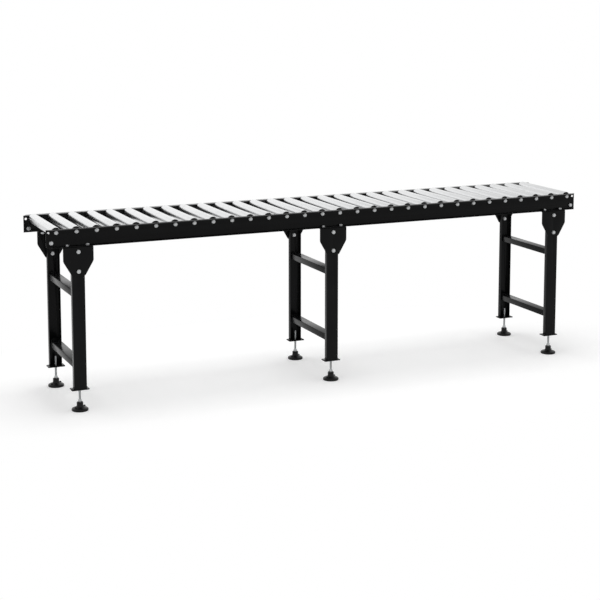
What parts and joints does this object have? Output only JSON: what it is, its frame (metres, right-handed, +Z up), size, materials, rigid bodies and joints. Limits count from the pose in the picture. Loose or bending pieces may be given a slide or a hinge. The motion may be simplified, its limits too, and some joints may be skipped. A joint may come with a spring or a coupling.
{
  "type": "gravity roller conveyor",
  "caption": "Straight gravity roller conveyor: free-turning steel rollers between outward-facing channel rails, on welded ladder stands with swivelling levelling feet.",
  "frame": {"origin": "on the floor below the middle of the conveyor, at the bottom centre of its bounding box", "axes": "+X along the conveyor towards its right end, +Y across it towards the far rail, +Z up"},
  "size_m": [3, 0.546, 0.9096],
  "materials": {
    "black_powder_coat": "satin black powder coat on sheet steel",
    "bright_tube": "bright zinc plated steel tube",
    "zinc_steel": "zinc plated screwed rod, bolts and nuts",
    "black_plastic": "moulded black polyamide with a fine grain"
  },
  "bodies": {
    "frame": {"near_side_rail": "black_powder_coat", "far_side_rail": "black_powder_coat", "left_near_end_bolt": "zinc_steel", "left_far_end_bolt": "zinc_steel", "right_near_end_bolt": "zinc_steel", "right_far_end_bolt": "zinc_steel", "left_stand_frame": "black_powder_coat", "middle_stand_frame": "black_powder_coat", "right_stand_frame": "black_powder_coat", "left_near_gusset": "black_powder_coat", "left_far_gusset": "black_powder_coat", "middle_near_gusset": "black_powder_coat", "middle_far_gusset": "black_powder_coat", "right_near_gusset": "black_powder_coat", "right_far_gusset": "black_powder_coat"},
    "left_near_spindle": {"left_near_levelling_spindle": "zinc_steel"},
    "left_far_spindle": {"left_far_levelling_spindle": "zinc_steel"},
    "middle_near_spindle": {"middle_near_levelling_spindle": "zinc_steel"},
    "middle_far_spindle": {"middle_far_levelling_spindle": "zinc_steel"},
    "right_near_spindle": {"right_near_levelling_spindle": "zinc_steel"},
    "right_far_spindle": {"right_far_levelling_spindle": "zinc_steel"},
    "left_near_pad": {"left_near_foot_pad": "black_plastic"},
    "left_far_pad": {"left_far_foot_pad": "black_plastic"},
    "middle_near_pad": {"middle_near_foot_pad": "black_plastic"},
    "middle_far_pad": {"middle_far_foot_pad": "black_plastic"},
    "right_near_pad": {"right_near_foot_pad": "black_plastic"},
    "right_far_pad": {"right_far_foot_pad": "black_plastic"},
    "roller_01": {"roller_01": "bright_tube"},
    "roller_02": {"roller_02": "bright_tube"},
    "roller_03": {"roller_03": "bright_tube"},
    "roller_04": {"roller_04": "bright_tube"},
    "roller_05": {"roller_05": "bright_tube"},
    "roller_06": {"roller_06": "bright_tube"},
    "roller_07": {"roller_07": "bright_tube"},
    "roller_08": {"roller_08": "bright_tube"},
    "roller_09": {"roller_09": "bright_tube"},
    "roller_10": {"roller_10": "bright_tube"},
    "roller_11": {"roller_11": "bright_tube"},
    "roller_12": {"roller_12": "bright_tube"},
    "roller_13": {"roller_13": "bright_tube"},
    "roller_14": {"roller_14": "bright_tube"},
    "roller_15": {"roller_15": "bright_tube"},
    "roller_16": {"roller_16": "bright_tube"},
    "roller_17": {"roller_17": "bright_tube"},
    "roller_18": {"roller_18": "bright_tube"},
    "roller_19": {"roller_19": "bright_tube"},
    "roller_20": {"roller_20": "bright_tube"},
    "roller_21": {"roller_21": "bright_tube"},
    "roller_22": {"roller_22": "bright_tube"},
    "roller_23": {"roller_23": "bright_tube"},
    "roller_24": {"roller_24": "bright_tube"},
    "roller_25": {"roller_25": "bright_tube"},
    "roller_26": {"roller_26": "bright_tube"},
    "roller_27": {"roller_27": "bright_tube"},
    "roller_28": {"roller_28": "bright_tube"},
    "roller_29": {"roller_29": "bright_tube"},
    "roller_30": {"roller_30": "bright_tube"}
  },
  "joints": [
    {"name": "left_near_level", "type": "slide", "parent": "frame", "child": "left_near_spindle", "axis": [0, 0, 1], "range_m": [-0.035, 0.045]},
    {"name": "left_far_level", "type": "slide", "parent": "frame", "child": "left_far_spindle", "axis": [0, 0, 1], "range_m": [-0.035, 0.045]},
    {"name": "middle_near_level", "type": "slide", "parent": "frame", "child": "middle_near_spindle", "axis": [0, 0, 1], "range_m": [-0.035, 0.045]},
    {"name": "middle_far_level", "type": "slide", "parent": "frame", "child": "middle_far_spindle", "axis": [0, 0, 1], "range_m": [-0.035, 0.045]},
    {"name": "right_near_level", "type": "slide", "parent": "frame", "child": "right_near_spindle", "axis": [0, 0, 1], "range_m": [-0.035, 0.045]},
    {"name": "right_far_level", "type": "slide", "parent": "frame", "child": "right_far_spindle", "axis": [0, 0, 1], "range_m": [-0.035, 0.045]},
    {"name": "left_near_pad_tilt", "type": "hinge", "parent": "left_near_spindle", "child": "left_near_pad", "pos_m": [-1.35, -0.232, 0.026], "axis": [0, 1, 0], "range_deg": [-10, 10]},
    {"name": "left_far_pad_tilt", "type": "hinge", "parent": "left_far_spindle", "child": "left_far_pad", "pos_m": [-1.35, 0.232, 0.026], "axis": [0, 1, 0], "range_deg": [-10, 10]},
    {"name": "middle_near_pad_tilt", "type": "hinge", "parent": "middle_near_spindle", "child": "middle_near_pad", "pos_m": [0, -0.232, 0.026], "axis": [0, 1, 0], "range_deg": [-10, 10]},
    {"name": "middle_far_pad_tilt", "type": "hinge", "parent": "middle_far_spindle", "child": "middle_far_pad", "pos_m": [0, 0.232, 0.026], "axis": [0, 1, 0], "range_deg": [-10, 10]},
    {"name": "right_near_pad_tilt", "type": "hinge", "parent": "right_near_spindle", "child": "right_near_pad", "pos_m": [1.35, -0.232, 0.026], "axis": [0, 1, 0], "range_deg": [-10, 10]},
    {"name": "right_far_pad_tilt", "type": "hinge", "parent": "right_far_spindle", "child": "right_far_pad", "pos_m": [1.35, 0.232, 0.026], "axis": [0, 1, 0], "range_deg": [-10, 10]},
    {"name": "roller_01_spin", "type": "hinge", "parent": "frame", "child": "roller_01", "pos_m": [-1.45, 0, 0.8846], "axis": [0, 1, 0], "continuous": true},
    {"name": "roller_02_spin", "type": "hinge", "parent": "frame", "child": "roller_02", "pos_m": [-1.35, 0, 0.8846], "axis": [0, 1, 0], "continuous": true},
    {"name": "roller_03_spin", "type": "hinge", "parent": "frame", "child": "roller_03", "pos_m": [-1.25, 0, 0.8846], "axis": [0, 1, 0], "continuous": true},
    {"name": "roller_04_spin", "type": "hinge", "parent": "frame", "child": "roller_04", "pos_m": [-1.15, 0, 0.8846], "axis": [0, 1, 0], "continuous": true},
    {"name": "roller_05_spin", "type": "hinge", "parent": "frame", "child": "roller_05", "pos_m": [-1.05, 0, 0.8846], "axis": [0, 1, 0], "continuous": true},
    {"name": "roller_06_spin", "type": "hinge", "parent": "frame", "child": "roller_06", "pos_m": [-0.95, 0, 0.8846], "axis": [0, 1, 0], "continuous": true},
    {"name": "roller_07_spin", "type": "hinge", "parent": "frame", "child": "roller_07", "pos_m": [-0.85, 0, 0.8846], "axis": [0, 1, 0], "continuous": true},
    {"name": "roller_08_spin", "type": "hinge", "parent": "frame", "child": "roller_08", "pos_m": [-0.75, 0, 0.8846], "axis": [0, 1, 0], "continuous": true},
    {"name": "roller_09_spin", "type": "hinge", "parent": "frame", "child": "roller_09", "pos_m": [-0.65, 0, 0.8846], "axis": [0, 1, 0], "continuous": true},
    {"name": "roller_10_spin", "type": "hinge", "parent": "frame", "child": "roller_10", "pos_m": [-0.55, 0, 0.8846], "axis": [0, 1, 0], "continuous": true},
    {"name": "roller_11_spin", "type": "hinge", "parent": "frame", "child": "roller_11", "pos_m": [-0.45, 0, 0.8846], "axis": [0, 1, 0], "continuous": true},
    {"name": "roller_12_spin", "type": "hinge", "parent": "frame", "child": "roller_12", "pos_m": [-0.35, 0, 0.8846], "axis": [0, 1, 0], "continuous": true},
    {"name": "roller_13_spin", "type": "hinge", "parent": "frame", "child": "roller_13", "pos_m": [-0.25, 0, 0.8846], "axis": [0, 1, 0], "continuous": true},
    {"name": "roller_14_spin", "type": "hinge", "parent": "frame", "child": "roller_14", "pos_m": [-0.15, 0, 0.8846], "axis": [0, 1, 0], "continuous": true},
    {"name": "roller_15_spin", "type": "hinge", "parent": "frame", "child": "roller_15", "pos_m": [-0.05, 0, 0.8846], "axis": [0, 1, 0], "continuous": true},
    {"name": "roller_16_spin", "type": "hinge", "parent": "frame", "child": "roller_16", "pos_m": [0.05, 0, 0.8846], "axis": [0, 1, 0], "continuous": true},
    {"name": "roller_17_spin", "type": "hinge", "parent": "frame", "child": "roller_17", "pos_m": [0.15, 0, 0.8846], "axis": [0, 1, 0], "continuous": true},
    {"name": "roller_18_spin", "type": "hinge", "parent": "frame", "child": "roller_18", "pos_m": [0.25, 0, 0.8846], "axis": [0, 1, 0], "continuous": true},
    {"name": "roller_19_spin", "type": "hinge", "parent": "frame", "child": "roller_19", "pos_m": [0.35, 0, 0.8846], "axis": [0, 1, 0], "continuous": true},
    {"name": "roller_20_spin", "type": "hinge", "parent": "frame", "child": "roller_20", "pos_m": [0.45, 0, 0.8846], "axis": [0, 1, 0], "continuous": true},
    {"name": "roller_21_spin", "type": "hinge", "parent": "frame", "child": "roller_21", "pos_m": [0.55, 0, 0.8846], "axis": [0, 1, 0], "continuous": true},
    {"name": "roller_22_spin", "type": "hinge", "parent": "frame", "child": "roller_22", "pos_m": [0.65, 0, 0.8846], "axis": [0, 1, 0], "continuous": true},
    {"name": "roller_23_spin", "type": "hinge", "parent": "frame", "child": "roller_23", "pos_m": [0.75, 0, 0.8846], "axis": [0, 1, 0], "continuous": true},
    {"name": "roller_24_spin", "type": "hinge", "parent": "frame", "child": "roller_24", "pos_m": [0.85, 0, 0.8846], "axis": [0, 1, 0], "continuous": true},
    {"name": "roller_25_spin", "type": "hinge", "parent": "frame", "child": "roller_25", "pos_m": [0.95, 0, 0.8846], "axis": [0, 1, 0], "continuous": true},
    {"name": "roller_26_spin", "type": "hinge", "parent": "frame", "child": "roller_26", "pos_m": [1.05, 0, 0.8846], "axis": [0, 1, 0], "continuous": true},
    {"name": "roller_27_spin", "type": "hinge", "parent": "frame", "child": "roller_27", "pos_m": [1.15, 0, 0.8846], "axis": [0, 1, 0], "continuous": true},
    {"name": "roller_28_spin", "type": "hinge", "parent": "frame", "child": "roller_28", "pos_m": [1.25, 0, 0.8846], "axis": [0, 1, 0], "continuous": true},
    {"name": "roller_29_spin", "type": "hinge", "parent": "frame", "child": "roller_29", "pos_m": [1.35, 0, 0.8846], "axis": [0, 1, 0], "continuous": true},
    {"name": "roller_30_spin", "type": "hinge", "parent": "frame", "child": "roller_30", "pos_m": [1.45, 0, 0.8846], "axis": [0, 1, 0], "continuous": true}
  ]
}
